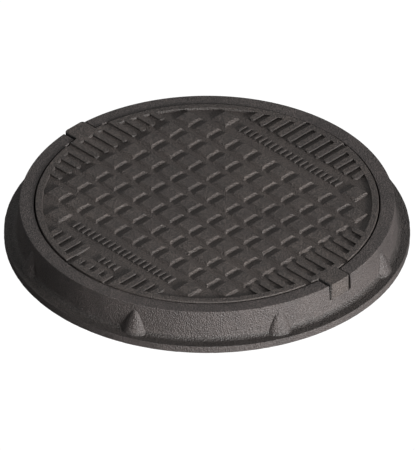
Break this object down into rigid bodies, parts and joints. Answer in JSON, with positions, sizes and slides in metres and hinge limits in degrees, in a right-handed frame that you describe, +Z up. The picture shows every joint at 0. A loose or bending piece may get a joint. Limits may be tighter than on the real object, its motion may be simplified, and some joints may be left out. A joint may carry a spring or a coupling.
{
  "type": "manhole cover",
  "caption": "Round cast-iron manhole cover with a studded tread, lifting out of a flanged frame with buttresses and a rubber seat.",
  "frame": {"origin": "centre of the frame flange's underside, on the ground", "axes": "+Z up along the axis of the round frame; the cover's two ears lie on +X and -X"},
  "size_m": [0.72, 0.72, 0.072],
  "materials": {
    "iron_frame": "rough sand-cast, black coated",
    "iron_cover": "rough sand-cast, black coated",
    "seat_rubber": "matte"
  },
  "bodies": {
    "frame": {"frame": "iron_frame", "seat_ring": "seat_rubber"},
    "cover": {"cover": "iron_cover"}
  },
  "joints": [
    {"name": "cover_lift", "type": "slide", "parent": "frame", "child": "cover", "axis": [0, 0, 1], "range_m": [0, 0.12]}
  ]
}
